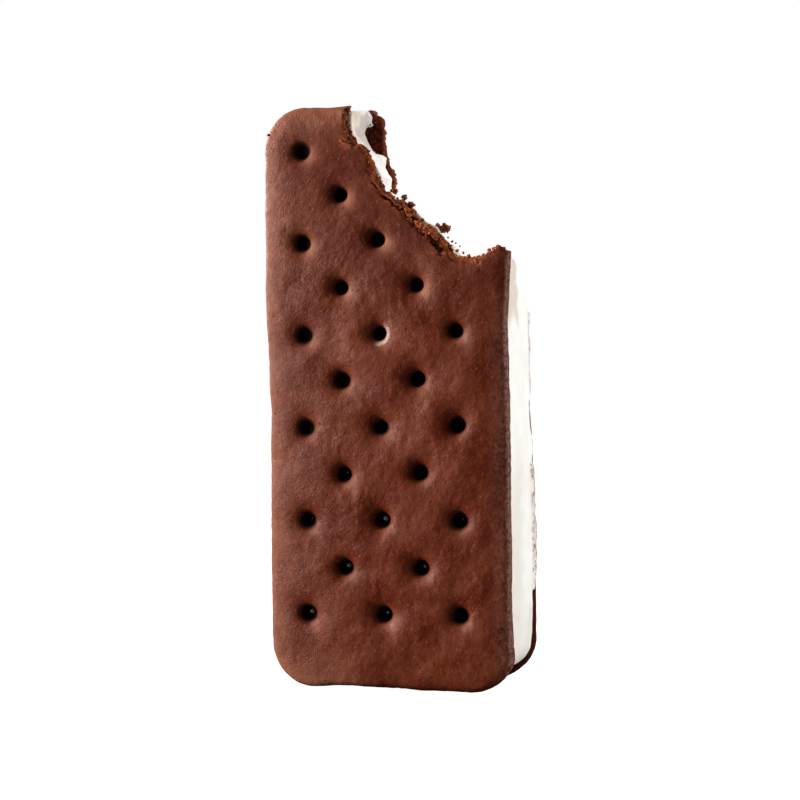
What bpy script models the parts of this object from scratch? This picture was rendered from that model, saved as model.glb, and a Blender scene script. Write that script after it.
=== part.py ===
"""A bitten ice cream sandwich: a slab of vanilla ice cream between two chocolate wafers.

It stands on its short end. Z is up, the front wafer faces -Y, and the origin is at the middle
of the bottom. Each wafer has rows of docking holes that flare at the outside, and a bite is gone
from the top corner at +X. All sizes are in metres.
"""

from collections import namedtuple
from math import atan2, cos, pi, sin, sqrt, tau

import bmesh
import bpy
from mathutils import Matrix

# Driving dimensions
WIDTH = 0.0495
HEIGHT = 0.1160
BACK_WAFER_HEIGHT = 0.1172
WAFER_THICKNESS = 0.0034
FILLING_THICKNESS = 0.0141
GAP = 0.0003
CORNER_RADIUS = 0.0084
CORNER_SEGMENTS = 7

# Rim of a wafer: well rounded on the outer face, barely on the face that meets the ice cream
RIM_RADIUS = 0.0011
INNER_RIM_SHARE = 0.35
RIM_SEGMENTS = 3

# Docking holes: rows of three and two by turns, counted down from the top row
HOLE_ROWS = 11
HOLE_ROW_PITCH = 0.0093
HOLE_HALF_PITCH = 0.00797
HOLE_TOP_ROW = 0.1076
HOLE_MIDDLE = -0.0009
HOLE_RADIUS = 0.00105
HOLE_MOUTH_RADIUS = 0.0021
HOLE_MOUTH_DEPTH = 0.0012
HOLE_SEGMENTS = 12
MERGE_DISTANCE = 0.000001

# Ice cream: a little narrower than the wafers, swollen along its sides, short at the bottom
FILLING_INSET = 0.0003
FILLING_BOTTOM = 0.0018
BULGE = 0.0008
BULGE_BOTTOM = 0.0120
BULGE_TOP = 0.0800
BULGE_STEPS = 12

# Bite: each tooth leaves a round groove that runs from the front face to the back face.
# front and back give the groove's centre (x, z), and radii its radius at those two faces.
# shoulder is how far the groove has already shifted where the ice cream starts to fall away.
Tooth = namedtuple("Tooth", "front back radii shoulder")
TEETH = (
    Tooth((0.0020, 0.1210), (0.0020, 0.1205), (0.0093, 0.0094), 0.50),
    Tooth((-0.0010, 0.1131), (0.0048, 0.1122), (0.0061, 0.0104), 0.40),
    Tooth((0.0082, 0.1085), (0.0090, 0.1110), (0.0110, 0.0146), 0.50),
    Tooth((0.0054, 0.1022), (0.0051, 0.1007), (0.0058, 0.0080), 0.55),
    Tooth((0.0221, 0.1072), (0.0192, 0.1042), (0.0200, 0.0200), 0.60),
    Tooth((0.0205, 0.0979), (0.0174, 0.0947), (0.0120, 0.0120), 0.60),
    Tooth((0.0189, 0.0900), (0.0180, 0.0835), (0.0054, 0.0060), 0.45),
    Tooth((0.0270, 0.0912), (0.0260, 0.0810), (0.0060, 0.0064), 0.30),
)
BITE_ARC_SEGMENTS = 6
SHOULDER_Y = 0.0033
BITE_MARGIN = 0.0040

# Ice cream that came away from the back wafer beside the first tooth
GOUGE_CENTRE = (-0.0035, 0.0080, 0.1132)
GOUGE_RADII = (0.0056, 0.0045, 0.0040)

DEPTH = 2 * WAFER_THICKNESS + FILLING_THICKNESS + 2 * GAP
FRONT_Y = -DEPTH / 2
BACK_Y = DEPTH / 2

WAFER_COLOUR = (0.141, 0.038, 0.020)
ICE_CREAM_COLOUR = (0.871, 0.823, 0.745)


def clear_scene():
    for obj in list(bpy.data.objects):
        bpy.data.objects.remove(obj)


def new_collection(name):
    collection = bpy.data.collections.new(name)
    bpy.context.scene.collection.children.link(collection)
    return collection


def matte_material(name, colour, roughness):
    material = bpy.data.materials.new(name)
    material.use_nodes = True
    shader = material.node_tree.nodes["Principled BSDF"]
    shader.inputs["Base Color"].default_value = (*colour, 1)
    shader.inputs["Roughness"].default_value = roughness
    shader.inputs["Metallic"].default_value = 0
    return material


def add_object(name, bm, collection, material=None):
    """Turns a bmesh into a named object of the collection."""
    bmesh.ops.recalc_face_normals(bm, faces=bm.faces)
    mesh = bpy.data.meshes.new(name)
    bm.to_mesh(mesh)
    bm.free()
    obj = bpy.data.objects.new(name, mesh)
    collection.objects.link(obj)
    if material:
        mesh.materials.append(material)
    return obj


def add_cutter(name, bm, collection):
    cutter = add_object(name, bm, collection)
    cutter.hide_render = True
    cutter.display_type = "WIRE"
    return cutter


def cut(obj, cutter):
    modifier = obj.modifiers.new("Cut " + cutter.name, "BOOLEAN")
    modifier.operation = "DIFFERENCE"
    modifier.object = cutter


def rounded_slab(width, bottom, top, front, back):
    """A box with its four edges along Y rounded to the sandwich's corner radius."""
    bm = bmesh.new()
    size = Matrix.Diagonal((width, back - front, top - bottom, 1))
    middle = Matrix.Translation((0, (front + back) / 2, (bottom + top) / 2))
    bmesh.ops.create_cube(bm, size=1, matrix=middle @ size)
    corners = [edge for edge in bm.edges if runs_along_y(edge)]
    bmesh.ops.bevel(
        bm,
        geom=corners,
        offset=CORNER_RADIUS,
        segments=CORNER_SEGMENTS,
        profile=0.5,
        affect="EDGES",
    )
    return bm


def runs_along_y(edge):
    start, end = (vert.co for vert in edge.verts)
    return abs(start.y - end.y) > max(abs(start.x - end.x), abs(start.z - end.z))


def turned_pin(outer_y, inner_y):
    """A closed pin along Y that cuts one docking hole: a flared mouth and a straight bore."""
    outward = 1 if outer_y > inner_y else -1
    flare = (HOLE_MOUTH_RADIUS - HOLE_RADIUS) / HOLE_MOUTH_DEPTH
    near = outer_y + outward * GAP
    far = inner_y - outward * GAP / 2
    profile = (
        (0, near),
        (HOLE_MOUTH_RADIUS + flare * GAP, near),
        (HOLE_RADIUS, outer_y - outward * HOLE_MOUTH_DEPTH),
        (HOLE_RADIUS, far),
        (0, far),
    )
    bm = bmesh.new()
    verts = [bm.verts.new((radius, y, 0)) for radius, y in profile]
    edges = [bm.edges.new(pair) for pair in zip(verts, verts[1:])]
    bmesh.ops.spin(
        bm,
        geom=verts + edges,
        cent=(0, 0, 0),
        axis=(0, 1, 0),
        angle=tau,
        steps=HOLE_SEGMENTS,
        use_merge=True,
    )
    bmesh.ops.remove_doubles(bm, verts=bm.verts, dist=MERGE_DISTANCE)
    bmesh.ops.recalc_face_normals(bm, faces=bm.faces)
    return bm


def hole_positions():
    """Centres (x, z) of the docking holes of an unbitten wafer."""
    for row in range(HOLE_ROWS):
        columns = (-2, 0, 2) if row % 2 == 0 else (-1, 1)
        for column in columns:
            yield HOLE_MIDDLE + column * HOLE_HALF_PITCH, HOLE_TOP_ROW - row * HOLE_ROW_PITCH


def docking_pins(name, outer_y, inner_y, collection):
    """One cutter that holds a pin for each docking hole."""
    pin = bpy.data.meshes.new(name + "_pin")
    pin_bm = turned_pin(outer_y, inner_y)
    pin_bm.to_mesh(pin)
    pin_bm.free()
    bm = bmesh.new()
    for x, z in hole_positions():
        already = len(bm.verts)
        bm.from_mesh(pin)
        bm.verts.ensure_lookup_table()
        bmesh.ops.translate(bm, verts=bm.verts[already:], vec=(x, 0, z))
    bpy.data.meshes.remove(pin)
    return add_cutter(name, bm, collection)


def mix(start, end, share):
    return start + (end - start) * share


def tooth_circle(tooth, share):
    """Centre and radius of a tooth's groove, at a share of the way to the back."""
    x = mix(tooth.front[0], tooth.back[0], share)
    z = mix(tooth.front[1], tooth.back[1], share)
    return x, z, mix(*tooth.radii, share)


def cusp(first, second):
    """Where two neighbouring grooves meet, on the side of the uneaten sandwich."""
    x1, z1, r1 = first
    x2, z2, r2 = second
    distance = sqrt((x2 - x1) ** 2 + (z2 - z1) ** 2)
    along = (distance**2 + r1**2 - r2**2) / (2 * distance)
    aside = sqrt(r1**2 - along**2)
    ux, uz = (x2 - x1) / distance, (z2 - z1) / distance
    crossings = [(x1 + ux * along - s * uz * aside, z1 + uz * along + s * ux * aside) for s in (1, -1)]
    return min(crossings, key=sum)


def left_of(circle, z):
    x0, z0, radius = circle
    return x0 - sqrt(radius**2 - (z - z0) ** 2), z


def below(circle, x):
    x0, z0, radius = circle
    return x, z0 - sqrt(radius**2 - (x - x0) ** 2)


def arc(circle, start, end):
    """Points of a groove from start up to, but without, end, turning through its lower left."""
    x0, z0, radius = circle
    first = atan2(start[1] - z0, start[0] - x0) % tau
    last = atan2(end[1] - z0, end[0] - x0) % tau
    for step in range(BITE_ARC_SEGMENTS):
        angle = mix(first, last, step / BITE_ARC_SEGMENTS)
        yield x0 + radius * cos(angle), z0 + radius * sin(angle)


def bite_outline(shift_of):
    """Outline (x, z) of the eaten corner. shift_of gives each tooth's share of the way back."""
    circles = [tooth_circle(tooth, shift_of(tooth)) for tooth in TEETH]
    top = HEIGHT + BITE_MARGIN / 2
    side = WIDTH / 2 + BITE_MARGIN / 2
    ends = [left_of(circles[0], top)]
    ends += [cusp(*pair) for pair in zip(circles, circles[1:])]
    ends.append(below(circles[-1], side))
    outline = []
    for circle, start, end in zip(circles, ends, ends[1:]):
        outline += arc(circle, start, end)
    far_x = side + BITE_MARGIN
    far_z = top + BITE_MARGIN
    return outline + [ends[-1], (far_x, ends[-1][1]), (far_x, far_z), (ends[0][0], far_z)]


def bite_cutter(collection):
    """The eaten corner, lofted through a section at the front, the shoulder and the back."""
    sections = (
        (FRONT_Y - BITE_MARGIN, lambda tooth: 0.0),
        (FRONT_Y, lambda tooth: 0.0),
        (SHOULDER_Y, lambda tooth: tooth.shoulder),
        (BACK_Y - WAFER_THICKNESS, lambda tooth: 1.0),
        (BACK_Y + BITE_MARGIN, lambda tooth: 1.0),
    )
    bm = bmesh.new()
    rings = []
    for y, shift_of in sections:
        rings.append([bm.verts.new((x, y, z)) for x, z in bite_outline(shift_of)])
    for near, far in zip(rings, rings[1:]):
        for i in range(len(near)):
            bm.faces.new((near[i - 1], near[i], far[i], far[i - 1]))
    bm.faces.new(rings[0])
    bm.faces.new(rings[-1])
    bmesh.ops.triangulate(bm, faces=bm.faces)
    return add_cutter("bite", bm, collection)


def gouge_cutter(collection):
    bm = bmesh.new()
    place = Matrix.Translation(GOUGE_CENTRE) @ Matrix.Diagonal((*GOUGE_RADII, 1))
    bmesh.ops.create_uvsphere(bm, u_segments=16, v_segments=10, radius=1, matrix=place)
    return add_cutter("gouge", bm, collection)


def weigh_rims(bm, outer_y):
    """Marks the rim edges for the Bevel modifier, the inner one for a smaller radius."""
    weight = bm.edges.layers.float.new("bevel_weight_edge")
    for edge in bm.edges:
        if runs_along_y(edge):
            continue
        is_outer = abs(edge.verts[0].co.y - outer_y) < WAFER_THICKNESS / 2
        edge[weight] = 1.0 if is_outer else INNER_RIM_SHARE


def wafer(name, outer_y, inner_y, height, material, parts):
    front, back = sorted((outer_y, inner_y))
    bm = rounded_slab(WIDTH, 0, height, front, back)
    weigh_rims(bm, outer_y)
    obj = add_object(name, bm, parts, material)
    rim = obj.modifiers.new("Rim", "BEVEL")
    rim.limit_method = "WEIGHT"
    rim.width = RIM_RADIUS
    rim.segments = RIM_SEGMENTS
    return obj


def bulge_at(y, z):
    """How far the ice cream swells past its side at this place."""
    along = (z - BULGE_BOTTOM) / (BULGE_TOP - BULGE_BOTTOM)
    across = y / FILLING_THICKNESS + 0.5
    if not 0 < along < 1:
        return 0.0
    return BULGE * sin(pi * along) ** 0.5 * sin(pi * across)


def filling(name, material, parts):
    half = FILLING_THICKNESS / 2
    bm = rounded_slab(WIDTH - 2 * FILLING_INSET, FILLING_BOTTOM, HEIGHT, -half, half)
    heights = [mix(BULGE_BOTTOM, BULGE_TOP, step / BULGE_STEPS) for step in range(BULGE_STEPS + 1)]
    planes = [((0, 0, z), (0, 0, 1)) for z in heights]
    planes += [((0, y * half, 0), (0, 1, 0)) for y in (-0.5, 0, 0.5)]
    for point, normal in planes:
        everything = bm.verts[:] + bm.edges[:] + bm.faces[:]
        bmesh.ops.bisect_plane(bm, geom=everything, plane_co=point, plane_no=normal)
    for vert in bm.verts:
        side = 1 if vert.co.x > 0 else -1
        vert.co.x += side * bulge_at(vert.co.y, vert.co.z)
    return add_object(name, bm, parts, material)


def build():
    clear_scene()
    parts = new_collection("ice_cream_sandwich")
    cutters = new_collection("cutters")
    chocolate = matte_material("chocolate_wafer", WAFER_COLOUR, 0.75)
    vanilla = matte_material("vanilla_ice_cream", ICE_CREAM_COLOUR, 0.5)
    bite = bite_cutter(cutters)

    front_inner = FRONT_Y + WAFER_THICKNESS
    back_inner = BACK_Y - WAFER_THICKNESS
    wafer_front = wafer("wafer_front", FRONT_Y, front_inner, HEIGHT, chocolate, parts)
    wafer_back = wafer("wafer_back", BACK_Y, back_inner, BACK_WAFER_HEIGHT, chocolate, parts)
    cut(wafer_front, docking_pins("front_pins", FRONT_Y, front_inner, cutters))
    cut(wafer_back, docking_pins("back_pins", BACK_Y, back_inner, cutters))
    ice_cream = filling("ice_cream", vanilla, parts)
    cut(ice_cream, gouge_cutter(cutters))
    for layer in (wafer_front, ice_cream, wafer_back):
        cut(layer, bite)


build()
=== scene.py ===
"""Looks of a bitten ice cream sandwich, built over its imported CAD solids.

The wafers and the ice cream are sculpted as distance fields, negative inside the food, which are
sampled on grids and meshed along their zero level. Lengths are millimetres until a mesh is made.
X is to the right, Y goes into the sandwich from its front face, and Z is up.
"""

from collections import namedtuple
from math import pi, radians

import bmesh
import bpy
import numpy as np
from mathutils import Matrix, Vector, noise


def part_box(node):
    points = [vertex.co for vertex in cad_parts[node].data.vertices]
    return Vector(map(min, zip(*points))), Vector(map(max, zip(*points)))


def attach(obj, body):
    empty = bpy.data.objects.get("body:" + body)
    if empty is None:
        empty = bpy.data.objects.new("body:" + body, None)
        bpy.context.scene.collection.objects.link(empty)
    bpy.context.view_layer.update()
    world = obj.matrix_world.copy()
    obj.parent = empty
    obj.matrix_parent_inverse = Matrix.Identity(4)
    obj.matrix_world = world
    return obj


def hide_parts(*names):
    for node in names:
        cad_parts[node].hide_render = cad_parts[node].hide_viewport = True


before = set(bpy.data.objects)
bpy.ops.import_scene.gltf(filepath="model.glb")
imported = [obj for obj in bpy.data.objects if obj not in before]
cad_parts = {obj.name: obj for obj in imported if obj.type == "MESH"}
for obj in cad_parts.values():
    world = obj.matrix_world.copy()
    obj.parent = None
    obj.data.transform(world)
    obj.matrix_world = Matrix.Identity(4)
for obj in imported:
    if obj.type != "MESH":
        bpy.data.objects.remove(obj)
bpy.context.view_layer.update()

MM = 0.001

Box = namedtuple("Box", "low high")


def table(kind, *rows):
    """Rows of values with the kind's names."""
    return [kind(*row) for row in rows]


def node_box(node):
    """A CAD node's box in millimetres."""
    low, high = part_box(node)
    return Box(np.array(low) / MM, np.array(high) / MM)


FRONT = node_box("wafer_front")
FILLING = node_box("ice_cream")
BACK = node_box("wafer_back")

FRONT_Y = FRONT.low[1]
BACK_INNER_Y = BACK.low[1]
WAFER_THICKNESS = FRONT.high[1] - FRONT.low[1]
WAFER_TOP = BACK.high[2]
HALF_WIDTH = BACK.high[0]
CORNER_RADIUS = 8.4
FACE_ROUNDING = 1.15
INNER_ROUNDING = 0.3
BREAK_ROUNDING = 0.12

# Triangles of each layer's mesh
FRONT_TRIANGLES, BACK_TRIANGLES, FILLING_TRIANGLES = 190000, 180000, 190000

# Docking holes, in rows of three and two by turns, counted down from the top row
HOLE_ROWS = 11
HOLE_ROW_PITCH = 9.3
HOLE_HALF_PITCH = 7.97
HOLE_TOP_ROW = 107.6  # height of the top row
HOLE_MIDDLE = -0.9  # x of the middle column
HOLE_RADIUS = 1.5
HOLE_TAPER = 0.25  # how much narrower it gets over the wafer's thickness
HOLE_LIP = 1.1  # rounding of its mouth
HOLE_FLOOR = 0.4  # wafer left under it
FRONT_HOLES_SEED, BACK_HOLES_SEED = 5, 6
# Each dimple is a wide and a narrow hollow: (depth, radius)
DIMPLE = ((0.95, 3.1), (0.9, 1.8))
CRESCENT_HOLE = (4, 0)  # its row and column

# Ice cream that pushes into the lower docking holes: (row, column) to its radius and height
NUBS = {
    (7, -1): (0.4, 1.3), (8, -2): (0.4, 1.3), (8, 0): (0.62, 1.9), (8, 2): (0.35, 1.2),
    (9, -1): (0.58, 1.8), (9, 1): (0.45, 1.6), (10, -2): (0.58, 2), (10, 0): (0.42, 1.8),
}
NUB_Y = -6.9  # of their middles

# Each tooth leaves a groove from the front face to the back wafer, with a middle (x, z) and a radius
# at either end. At SHOULDER_Y, it has gone the shoulder's share of the way
Tooth = namedtuple("Tooth", "front back radii shoulder")
TEETH = table(
    Tooth,
    ((2, 121), (1.7, 120.6), (9.3, 9.8), 0.5),
    ((-1, 113.1), (4.9, 112.2), (6.1, 10.3), 0.4),
    ((8.2, 108.5), (9, 111), (11, 14.4), 0.5),
    ((5.4, 102.2), (4.7, 100.2), (5.4, 8.5), 0.55),
    ((22.1, 107.2), (19.2, 104.2), (20, 20), 0.6),
    ((20.5, 97.9), (17.4, 94.7), (12, 12), 0.6),
    ((18.2, 90), (18, 83.5), (5.4, 6), 0.45),
    ((27.4, 91.7), (26, 81), (6, 6.4), 0.3),
)
SHOULDER_Y = 3.3
# The grids are finer above and to the right of these
BITE_BOTTOM, BITE_LEFT = 76, -11.5

# Where the front crust broke back further than the crumb under it: the middle (x, z), how far the
# ledge spreads along the edge, how wide it is, and how thick the lost crust was
Ledge = namedtuple("Ledge", "centre spread width depth")
LEDGES = table(
    Ledge,
    ((-5.8, 110.2), 2.2, 1, 1.9),
    ((0.2, 103.6), 1.8, 0.8, 1.4),
    ((20, 84.2), 3, 0.5, 0.7),
)

# Pockets in the crumb of the front wafer: (x, depth under the face, z) and radius
Pocket = namedtuple("Pocket", "centre radius")
POCKETS = table(
    Pocket,
    ((-5.9, 2.1, 110.8), 1.1),
    ((-6.6, 1.4, 114.6), 0.9),
    ((-1.2, 1.9, 105.2), 0.8),
    ((7, 0.9, 92.6), 0.75),
    ((8, 0.9, 92.3), 0.6),
)

# Lumps of the back wafer that stand out from its broken edge
Lobe = namedtuple("Lobe", "centre radii")
LOBES = table(
    Lobe,
    ((-8.1, 8.9, 116.9), (1.4, 1.3, 1.4)),
    ((-6.3, 8.9, 114.9), (1, 1.3, 1.6)),
    ((-4.6, 8.9, 103.9), (1.3, 1.2, 2.1)),
)

# Cracks in the front crust: half their width, their depth and an (x, z) path. The last two are at the
# rims, the others beside the bite
Crack = namedtuple("Crack", "width depth path")
CRACKS = table(
    Crack,
    (0.26, 1.6, ((-1.3, 100.3), (-0.5, 99.5), (0.2, 98.8), (0.3, 97.9), (0.9, 97.1), (1.7, 96.5),
                 (2.4, 96.2), (3, 95.3), (3.5, 94.8), (4.2, 94.5), (5.1, 93.5), (5.9, 92.8))),
    (0.18, 1, ((-1.7, 103.1), (-0.8, 102.7), (0.3, 102.1))),
    (0.18, 1, ((-0.8, 101.3), (0, 100.6), (0.7, 99.6))),
    (0.17, 0.9, ((-7.7, 109.6), (-6.7, 108.6), (-5.9, 108.3))),
    (0.17, 0.9, ((-7.9, 108.9), (-7, 108), (-6.2, 107.8))),
    (0.17, 0.9, ((-7.1, 110), (-6.2, 109.2), (-5.3, 108.8))),
    (1, 1.8, ((10.2, 88.5), (11.2, 87.4), (12.4, 86.6), (13.8, 86.3))),
    (0.16, 0.9, ((9, 90.2), (10.3, 89.5))),
    (0.16, 0.8, ((17, 84.6), (18.2, 84.1), (20, 83.3))),
    (0.14, 0.7, ((-24.4, 20.2), (-22.6, 21.3))),
    (0.13, 0.6, ((22.3, 17.9), (24.7, 18.3))),
)

# How far the outlines stand out beyond the CAD's, as (height, distance) pairs
LEFT_SPREAD = ((0, 0.6), (15, 0.65), (35, 0.6), (55, 0.2), (76, 0.8), (96, 0.75), (106, 0.5), (112, 0.6))
FRONT_RIGHT_SPREAD = ((0, 0.05), (5, 0.45), (9, 0.25), (16, 0.1), (30, 0.3), (45, 0.5), (62, 0.3), (71, 0.2),
                      (78, 0.6), (86, 1.2))
BACK_RIGHT_SPREAD = ((0, -0.8), (4, 0), (8, 0.75), (14, 0.95), (25, 1.05), (36, 0.95), (46, 0.65),
                     (60, 0.2), (75, 0.1))
# How far the bottom edge hangs below the CAD's, as (x, distance) pairs
BOTTOM_SAG = ((-22, -0.15), (-8, -0.1), (5, 0.2), (17, 0.45))

# Crumbs that stand out along the bite, and one at the left corner
Crumb = namedtuple("Crumb", "place radius")
CRUMBS = table(
    Crumb,
    ((2.5, -7.5, 98.7), 0.55), ((4.4, -8, 97.2), 0.6), ((5.8, -8, 95.7), 0.7),
    ((10.1, -4, 91.2), 0.8), ((11.1, -4.5, 90.8), 0.8), ((11.5, -4.5, 91.7), 0.55),
    ((12.3, -5, 90.9), 0.75), ((12.1, -4, 89.2), 0.25), ((13.1, -4.5, 88.3), 0.3),
    ((14, -5, 87.9), 0.25), ((15, -5.5, 87.2), 0.22), ((21.8, -9, 85.7), 0.4),
    ((23.2, -9, 86), 0.4), ((24.1, -8.6, 85.9), 0.35), ((-1.8, 4, 100.2), 0.65),
    ((-24.2, -9.1, 111.5), 0.33), ((5.8, -9.4, 93.6), 0.5), ((6.9, -9.2, 93.3), 0.45),
    ((8.3, -8.6, 92.4), 0.5), ((9.6, -8.2, 91.2), 0.45), ((10.9, -8.2, 89.7), 0.5),
    ((12.2, -8.4, 88.7), 0.45), ((12.9, -8.4, 87.9), 0.4), ((15.3, -8.6, 86), 0.4),
    ((16.6, -8.6, 85.5), 0.35), ((20.6, -8.6, 84.9), 0.4), ((21.9, -8.6, 85.8), 0.45),
    ((22.6, -8.6, 86.1), 0.35), ((23.8, -8.6, 85.8), 0.4), ((25, -8.4, 85.3), 0.3),
    ((3.2, -8.6, 97), 0.4), ((1.9, -8.4, 98.6), 0.35),
)
# How many more are on the front wafer, the back wafer and the ice cream, and their largest radius
MORE_CRUMBS = ((190, 0.42), (60, 0.35), (3, 0.3))
SMALLEST_CRUMB = 0.14
CRUMBS_SEED = 900

# How far back over the back wafer's side the ice cream is smeared, as (height, distance) pairs
SMEAR = ((0, 0), (19, 0), (22, 1.7), (30, 2.7), (34, 1.9), (38, 2.7), (43, 2.4), (45, 1), (48, 2.4),
         (51, 0.1), (56, 0.1), (59, 2.9), (69, 3.1), (80, 2.9))
# How high the ice cream stands at its right side, and in the top of the bite, as (y, height) pairs
SIDE_TOP = ((-7, 84.6), (-1, 84.8), (2, 84.2), (4.3, 82.8), (6.6, 82), (8.9, 80.5))
UPPER_TOP = ((-7, 115.3), (-1, 115.7), (2, 117), (7, 118))
ICE_HALF_THICKNESS = 7.05
# A hollow in the ice cream beside the back wafer, and a lump over the edge below it
GOUGE = Lobe((-5.8, 8.4, 111.9), (6.1, 6.9, 4.3))
SPILL = Lobe((-6.3, 7.8, 107), (1.5, 2, 1.5))

# The wafer's colours, as linear red, green and blue
CRUST_DARK, CRUST_LIGHT = (0.068, 0.007, 0.0009), (0.108, 0.0215, 0.0072)
# The second colour on the next line is painted highlight along slanted streaks
MOTTLE, STREAK_HIGHLIGHT = (0.064, 0.007, 0.0012), (0.16, 0.037, 0.014)
GRAIN_DARK = (0.036, 0.0042, 0.001)
# Both colours on the next line are partly the crust's pale grain and partly painted glints
PALE_GRAIN_AND_GLINT, RUDDY_GRAIN_AND_GLINT = (0.19, 0.044, 0.016), (0.215, 0.04, 0.0115)
# The first colour on the next line is painted shade in the crust's hollows
CRUST_HOLLOW_SHADE, BAKED = (0.035, 0.005, 0.0015), (0.052, 0.006, 0.0006)
DARK_DOT, LIGHT_DOT = (0.04, 0.006, 0.002), (0.27, 0.082, 0.04)
# Both colours on the next line are painted highlights: on the left rim and below the holes, and on the left
# corners
PAINTED_HIGHLIGHT, LIT_CORNER_PAINT = (0.28, 0.115, 0.072), (0.28, 0.102, 0.058)
# The second colour on the next line is painted sheen along the right rim
PALE_CRESCENT, RIGHT_RIM_SHEEN = (0.52, 0.38, 0.31), (0.23, 0.125, 0.098)
# The first colour on the next line is partly the broken crust's own orange and partly painted highlight
# along the broken edges
LIP_CRUMB_AND_HIGHLIGHT, PORE = (0.27, 0.07, 0.026), (0.022, 0.0035, 0.001)
CRUMB_DARK, CRUMB_LIGHT = (0.07, 0.011, 0.003), (0.29, 0.058, 0.015)
# Both colours on the next line are painted light on the crumb: shade in its hollows and highlights on its
# ridges
CRUMB_HOLLOW_SHADE, CRUMB_RIDGE_HIGHLIGHT = (0.018, 0.0035, 0.0015), (0.37, 0.094, 0.031)
# The next colour is painted shade deep inside the broken crumb
CRUMB_DEPTH_SHADE = (0.03, 0.005, 0.002)
INNER_DARK, INNER_LIGHT = (0.034, 0.0045, 0.0012), (0.11, 0.015, 0.004)
# Both colours on the next line are painted shade: in the inner face's hollows and inside the docking holes
INNER_HOLLOW_SHADE, HOLE_PAINTED_SHADE = (0.008, 0.0018, 0.001), (0.002, 0.0006, 0.0004)
WAFER_SHINE, WAFER_SHINE_TINT = 0.12, (1, 0.74, 0.64)

# The ice cream's colours
VANILLA_WARM, VANILLA_WHITE = (0.91, 0.88, 0.82), (0.94, 0.925, 0.89)
# The next line holds a darker cream that is partly painted shade, and painted shade on the ice cream inside
# the holes
CREAM_AND_SHADE, NUB_SHADE = (0.68, 0.59, 0.5), (0.24, 0.225, 0.19)
# The next two lines hold painted shade on the bitten ice cream
BITE_SHADE_MIDDLE, BITE_SHADE_FRONT = (0.52, 0.465, 0.425), (0.8, 0.66, 0.54)
BITE_SHADE_BACK = (0.78, 0.73, 0.69)
STAIN, SPECK = (0.52, 0.4, 0.36), (0.2, 0.1, 0.075)

# Stage, lights and camera, in metres, watts and degrees. "only" are the pieces that a light reaches
FLOOR_SIZE, FLOOR_HEIGHT = 8, -0.0006
ROOM_LIGHT = 0.22
Softbox = namedtuple("Softbox", "name place aim size power only")
SOFTBOXES = table(
    Softbox,
    ("key", (-0.54, -0.25, 0.19), (0, 0, 0.06), 0.24, 10.9, "wafers"),
    ("key_on_ice_cream", (-0.54, -0.25, 0.19), (0, 0, 0.06), 0.24, 2, "ice_cream"),
    ("back", (-0.5, 0.25, 0.3), (0, 0, 0.06), 0.2, 2.5, "wafers"),
    ("fill", (0.4, 0.1, 0.12), (0, 0, 0.05), 0.3, 0.8, None),
    ("top", (0.08, 0, 0.45), (0, 0, 0.06), 0.3, 0.5, None),
)
CAMERA_PLACE = (0.11097, -0.32228, 0.05349)
CAMERA_TURN = (19, 90.61, -1.02)  # yaw, tilt up from straight down, and roll
CAMERA_LENS = 75.4


# ------------ fields on grids


class Grid:
    """Sample points at every crossing of the stations along three axes."""

    def __init__(self, *axes):
        self.axes = xs, ys, zs = [stations(axis) for axis in axes]
        self.x = xs[:, None, None]
        self.y = ys[None, :, None]
        self.z = zs[None, None, :]

    def noise(self, *lumps, seed, layers=1):
        """Sum of smooth random lumps of each (size, height), layers times flatter in Y."""
        xs, ys, zs = self.axes
        axes = (xs, ys * layers, zs)
        return sum(h * lattice_noise(axes, size, seed + i) for i, (size, h) in enumerate(lumps))

    def face_noise(self, *lumps, seed):
        """The same for every Y, as relief of a face."""
        plane = (self.axes[0], self.axes[2])
        layers = (h * lattice_noise(plane, size, seed + i) for i, (size, h) in enumerate(lumps))
        return sum(layers)[:, None, :]

    def away(self, x, z):
        """Distance in the face from a point of it."""
        return np.hypot(self.x - x, self.z - z)


def stations(stretches):
    """Coordinates along an axis. Each stretch is its start and step, and the last is the end."""
    parts = []
    for (start, step), (end, _) in zip(stretches, stretches[1:]):
        count = max(1, round((end - start) / step))
        parts.append(np.linspace(start, end, count, endpoint=False))
    return np.concatenate(parts).astype(np.float32)


def lattice_noise(axes, size, seed):
    """Smooth random values between -1 and 1 over a grid, with a new value every size."""
    lows = [int(np.floor(coords[0] / size)) for coords in axes]
    counts = [int(np.floor(coords[-1] / size)) - low + 2 for coords, low in zip(axes, lows)]
    values = np.random.default_rng(seed).uniform(-1, 1, counts).astype(np.float32)
    for axis, (coords, low) in enumerate(zip(axes, lows)):
        place = coords / size - low
        cell = place.astype(int)
        share = place - cell
        share = share * share * (3 - 2 * share)
        shape = [1] * len(axes)
        shape[axis] = -1
        share = share.reshape(shape).astype(np.float32)
        values = values.take(cell, axis) * (1 - share) + values.take(cell + 1, axis) * share
    return values


def between(pairs, where):
    """Value at each of the given places, out of (place, value) pairs."""
    places, values = zip(*pairs)
    return np.interp(where, places, values).astype(np.float32)


def fillet_max(a, b, radius):
    """Where two fields overlap, with the edge between them rounded."""
    u = np.maximum(a + radius, 0)
    v = np.maximum(b + radius, 0)
    return np.minimum(np.maximum(a, b), -radius) + np.hypot(u, v)


def fillet_min(a, b, radius):
    """Where either of two fields is, with the crease between them rounded."""
    return -fillet_max(-a, -b, radius)


def rounded_rectangle(x, z, half_width, bottom, top, radius):
    """Distance from a rounded rectangle's outline, negative inside."""
    across = np.abs(x) - half_width + radius
    along = np.abs(z - (bottom + top) / 2) - (top - bottom) / 2 + radius
    outside = np.hypot(np.maximum(across, 0), np.maximum(along, 0))
    return np.minimum(np.maximum(across, along), 0) + outside - radius


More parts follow.
